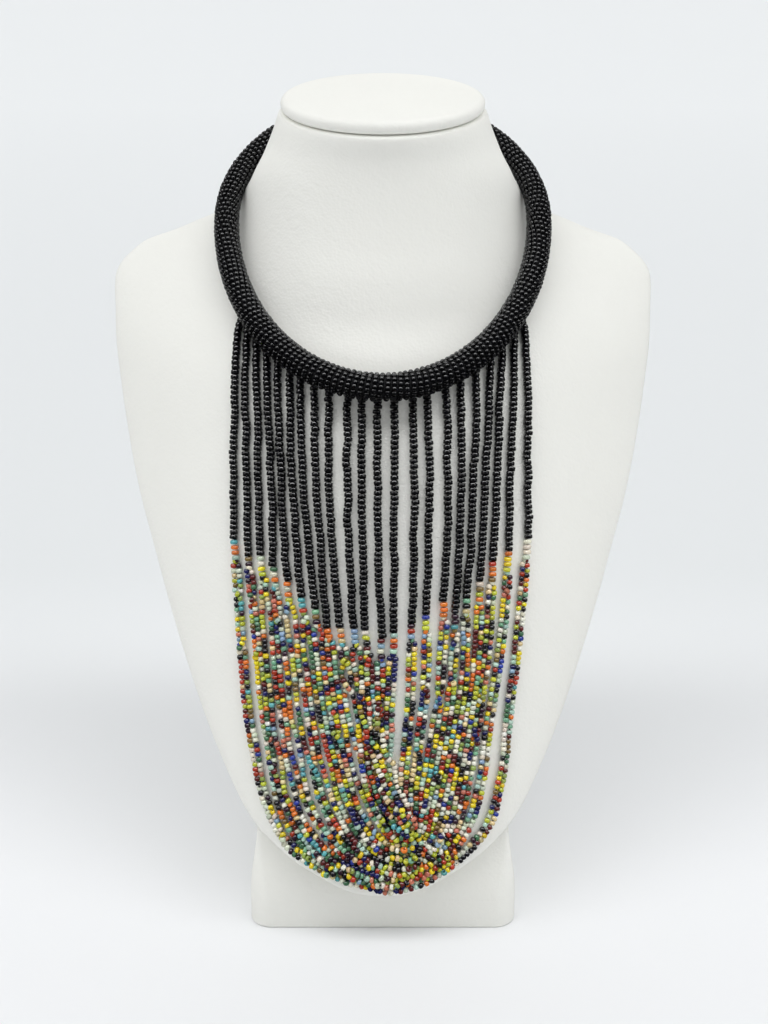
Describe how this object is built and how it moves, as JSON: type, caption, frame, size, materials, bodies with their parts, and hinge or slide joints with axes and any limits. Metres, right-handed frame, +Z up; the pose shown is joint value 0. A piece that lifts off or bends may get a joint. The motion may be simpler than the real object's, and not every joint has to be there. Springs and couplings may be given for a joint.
{
  "type": "woven bead necklace on a plain neck bust",
  "caption": "Woven seed bead necklace with a beaded rope collar and a long fringe of nested string loops, worn by a plain covered neck bust on a foot.",
  "frame": {"origin": "on the floor under the middle of the whole, at the centre of its bounding box's bottom face", "axes": "+Z up, the bust faces -Y, +X to the viewer's right in the front view"},
  "size_m": [0.241, 0.1853, 0.3392],
  "materials": {
    "bust_cover": "fine pebble grain, satin",
    "base_block": "fine pebble grain, satin",
    "collar_beads": "opaque black, glossy",
    "clasp_metal": "satin",
    "black_beads": "opaque black, glossy",
    "coloured_beads": "opaque seed beads of many colours, satin gloss"
  },
  "bodies": {
    "root": {"bust_body": "bust_cover", "neck_cap": "bust_cover", "bust_foot": "bust_cover", "bust_stem": "base_block", "collar": "collar_beads", "clasp": "clasp_metal", "black_string_1": "black_beads", "black_string_2": "black_beads", "black_string_3": "black_beads", "black_string_4": "black_beads", "black_string_5": "black_beads", "black_string_6": "black_beads", "black_string_7": "black_beads", "black_string_8": "black_beads", "black_string_9": "black_beads", "black_string_10": "black_beads", "black_string_11": "black_beads", "black_string_12": "black_beads", "black_string_13": "black_beads", "black_string_14": "black_beads", "black_string_15": "black_beads", "black_string_16": "black_beads", "black_string_17": "black_beads", "black_string_18": "black_beads", "black_string_19": "black_beads", "black_string_20": "black_beads", "black_string_21": "black_beads", "black_string_22": "black_beads", "colour_loop_1_outer": "coloured_beads", "colour_loop_2_outer": "coloured_beads", "colour_loop_3_outer": "coloured_beads", "colour_loop_4_outer": "coloured_beads", "colour_loop_5_outer": "coloured_beads", "colour_loop_6_outer": "coloured_beads", "colour_loop_7_outer": "coloured_beads", "colour_loop_8_outer": "coloured_beads", "colour_loop_9_outer": "coloured_beads", "colour_loop_10_outer": "coloured_beads", "colour_loop_11_outer": "coloured_beads", "colour_loop_1_inner": "coloured_beads", "colour_loop_2_inner": "coloured_beads", "colour_loop_3_inner": "coloured_beads", "colour_loop_4_inner": "coloured_beads", "colour_loop_5_inner": "coloured_beads", "colour_loop_6_inner": "coloured_beads", "colour_loop_7_inner": "coloured_beads", "colour_loop_8_inner": "coloured_beads", "colour_loop_9_inner": "coloured_beads", "colour_loop_10_inner": "coloured_beads", "colour_loop_11_inner": "coloured_beads"}
  },
  "joints": []
}
